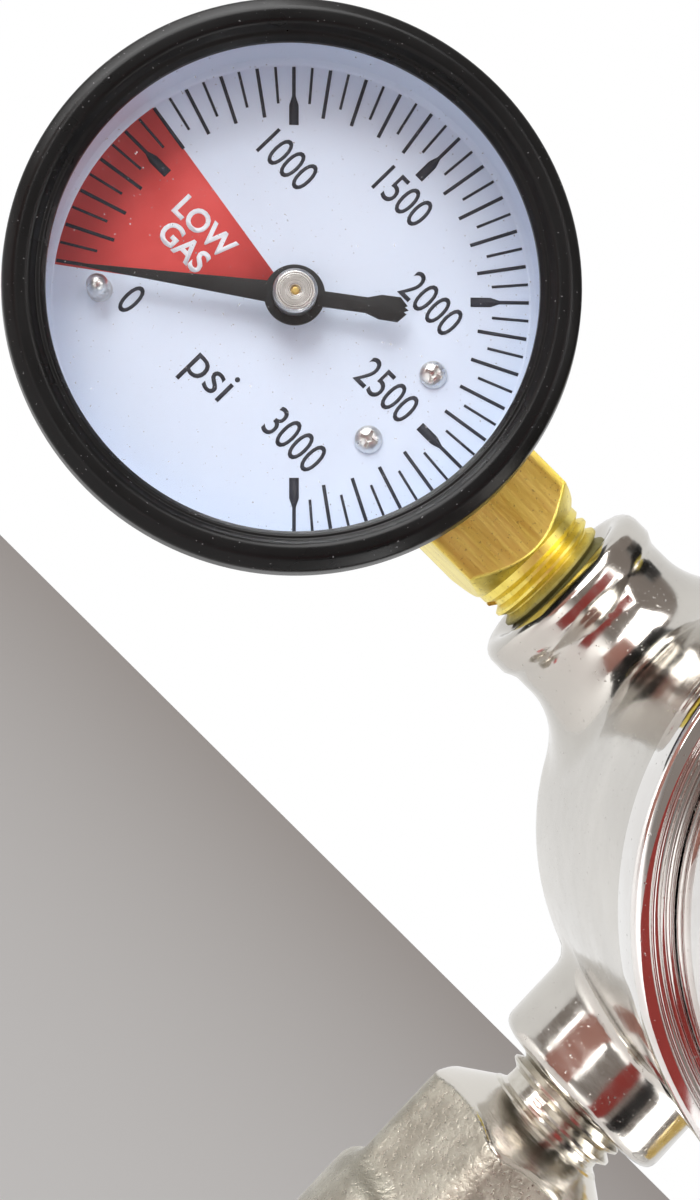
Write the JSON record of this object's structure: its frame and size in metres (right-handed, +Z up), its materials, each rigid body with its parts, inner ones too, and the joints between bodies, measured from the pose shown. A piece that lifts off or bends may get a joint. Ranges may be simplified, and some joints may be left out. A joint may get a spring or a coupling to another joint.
{
  "type": "carbon dioxide regulator",
  "caption": "Gas cylinder regulator with tank and output gauges, domed bonnet with adjusting screw, inlet nut, ring-pull relief valve, and a shut-off valve with hose barb.",
  "frame": {"origin": "centre of the inlet washer's sealing face", "axes": "+X out of the inlet towards the cylinder valve; +Z up towards the output gauge; the dials and the bonnet face -Y"},
  "size_m": [0.1932, 0.0977, 0.2135],
  "materials": {
    "nickel": "polished nickel plate on brass",
    "cast_nickel": "nickel plate on rough cast brass",
    "chrome": "bright chrome plate",
    "brass": "machined brass",
    "steel": "zinc-plated steel",
    "spring_steel": "drawn spring wire",
    "black_paint": "gloss black enamel",
    "dial_white": "white printed dial",
    "lens": "clear polycarbonate",
    "rubber": "black elastomer",
    "nylon": "natural nylon",
    "red_vinyl": "dipped red vinyl"
  },
  "bodies": {
    "housing": {"bonnet": "chrome", "check_retainer": "brass", "diaphragm": "rubber", "hose_adapter": "nickel", "inlet_filter": "brass", "inlet_nipple": "nickel", "inlet_washer": "nylon", "output_gauge_bezel": "black_paint", "output_gauge_bourdon_tube": "brass", "output_gauge_case": "black_paint", "output_gauge_dial": "dial_white", "output_gauge_dial_screw_1": "steel", "output_gauge_dial_screw_2": "steel", "output_gauge_lens": "lens", "output_gauge_movement_frame": "brass", "output_gauge_socket": "brass", "output_gauge_stop_pin": "steel", "poppet_spring": "spring_steel", "range_spring": "spring_steel", "regulator_body": "nickel", "relief_body": "brass", "relief_spring": "spring_steel", "slip_ring": "steel", "tank_gauge_bezel": "black_paint", "tank_gauge_bourdon_tube": "brass", "tank_gauge_case": "black_paint", "tank_gauge_dial": "dial_white", "tank_gauge_dial_screw_1": "steel", "tank_gauge_dial_screw_2": "steel", "tank_gauge_lens": "lens", "tank_gauge_movement_frame": "brass", "tank_gauge_socket": "brass", "tank_gauge_stop_pin": "steel", "valve_body": "cast_nickel", "valve_seal_lower": "nylon", "valve_seal_upper": "nylon", "valve_seat": "brass"},
    "tank_pointer": {"tank_gauge_pointer": "black_paint", "tank_gauge_pointer_arbor": "nickel"},
    "tank_sector": {"tank_gauge_sector_gear": "brass"},
    "tank_link": {"tank_gauge_link": "brass"},
    "output_pointer": {"output_gauge_pointer": "black_paint", "output_gauge_pointer_arbor": "nickel"},
    "output_sector": {"output_gauge_sector_gear": "brass"},
    "output_link": {"output_gauge_link": "brass"},
    "spring_button": {"spring_button": "steel"},
    "adjusting_screw": {"adjusting_screw": "steel"},
    "lock_nut": {"lock_nut": "steel"},
    "diaphragm_plate": {"diaphragm_plate": "brass"},
    "poppet": {"poppet": "brass"},
    "inlet_nut": {"inlet_nut": "nickel"},
    "valve_handle": {"valve_lever": "steel", "lever_grip": "red_vinyl", "lever_nut": "steel", "valve_stem": "steel", "valve_ball": "chrome"},
    "check_ball": {"check_ball": "rubber"},
    "relief_stem": {"relief_stem": "brass"},
    "relief_ring": {"relief_ring": "steel"}
  },
  "joints": [
    {"name": "tank_pointer_turn", "type": "hinge", "parent": "housing", "child": "tank_pointer", "pos_m": [-0.15815, 0, 0], "axis": [0, 1, 0], "range_deg": [0, 262.5], "stiffness_Nm_per_rad": 0.0002, "springref_deg": -28.65},
    {"name": "tank_sector_turn", "type": "hinge", "parent": "housing", "child": "tank_sector", "pos_m": [-0.15815, 0, 0.0099], "axis": [0, 1, 0], "range_deg": [-33, 0.2]},
    {"name": "tank_link_turn", "type": "hinge", "parent": "tank_sector", "child": "tank_link", "pos_m": [-0.15685, 0, 0.01431], "axis": [0, 1, 0], "range_deg": [-0.2, 33]},
    {"name": "output_pointer_turn", "type": "hinge", "parent": "housing", "child": "output_pointer", "pos_m": [-0.082, 0, 0.07615], "axis": [0, 1, 0], "range_deg": [0, 262.5], "stiffness_Nm_per_rad": 0.0002, "springref_deg": -28.65},
    {"name": "output_sector_turn", "type": "hinge", "parent": "housing", "child": "output_sector", "pos_m": [-0.0721, 0, 0.07615], "axis": [0, 1, 0], "range_deg": [-33, 0.2]},
    {"name": "output_link_turn", "type": "hinge", "parent": "output_sector", "child": "output_link", "pos_m": [-0.06769, 0, 0.07485], "axis": [0, 1, 0], "range_deg": [-0.2, 33]},
    {"name": "spring_button_slide", "type": "slide", "parent": "housing", "child": "spring_button", "axis": [0, 1, 0], "range_m": [0, 0.005], "deforming": ["range_spring"]},
    {"name": "adjusting_screw_turn", "type": "hinge", "parent": "spring_button", "child": "adjusting_screw", "pos_m": [-0.082, -0.07, 0], "axis": [0, 1, 0], "range_deg": [0, 1440]},
    {"name": "lock_nut_turn", "type": "hinge", "parent": "housing", "child": "lock_nut", "pos_m": [-0.082, -0.068, 0], "axis": [0, -1, 0], "range_deg": [0, 180]},
    {"name": "diaphragm_plate_slide", "type": "slide", "parent": "housing", "child": "diaphragm_plate", "axis": [0, 1, 0], "range_m": [0, 0.001], "stiffness_N_per_m": 1500, "springref_m": -0.001, "deforming": ["diaphragm"]},
    {"name": "poppet_slide", "type": "slide", "parent": "housing", "child": "poppet", "axis": [0, 1, 0], "range_m": [0, 0.001], "deforming": ["poppet_spring"]},
    {"name": "inlet_nut_turn", "type": "hinge", "parent": "housing", "child": "inlet_nut", "pos_m": [0, 0, 0], "axis": [1, 0, 0], "continuous": true},
    {"name": "valve_handle_turn", "type": "hinge", "parent": "housing", "child": "valve_handle", "pos_m": [-0.082, 0, -0.061], "axis": [0, 1, 0], "range_deg": [0, 90]},
    {"name": "check_ball_slide", "type": "slide", "parent": "housing", "child": "check_ball", "axis": [0, 0, -1], "range_m": [0, 0.0015]},
    {"name": "relief_stem_slide", "type": "slide", "parent": "housing", "child": "relief_stem", "axis": [0.7071, 0, -0.7071], "range_m": [0, 0.0025], "stiffness_N_per_m": 2000, "springref_m": -0.002, "deforming": ["relief_spring"]},
    {"name": "relief_ring_swing", "type": "hinge", "parent": "relief_stem", "child": "relief_ring", "pos_m": [-0.04346, 0, -0.03854], "axis": [0, -1, 0], "range_deg": [-30, 120]}
  ],
  "couplings": [
    {"joint": "tank_sector_turn", "follows": "tank_pointer_turn", "ratio": -0.125},
    {"joint": "tank_link_turn", "follows": "tank_pointer_turn", "ratio": 0.125},
    {"joint": "output_sector_turn", "follows": "output_pointer_turn", "ratio": -0.125},
    {"joint": "output_link_turn", "follows": "output_pointer_turn", "ratio": 0.125},
    {"joint": "adjusting_screw_turn", "follows": "spring_button_slide", "rad_per_m": 5026.5},
    {"joint": "poppet_slide", "follows": "diaphragm_plate_slide", "ratio": 1}
  ]
}
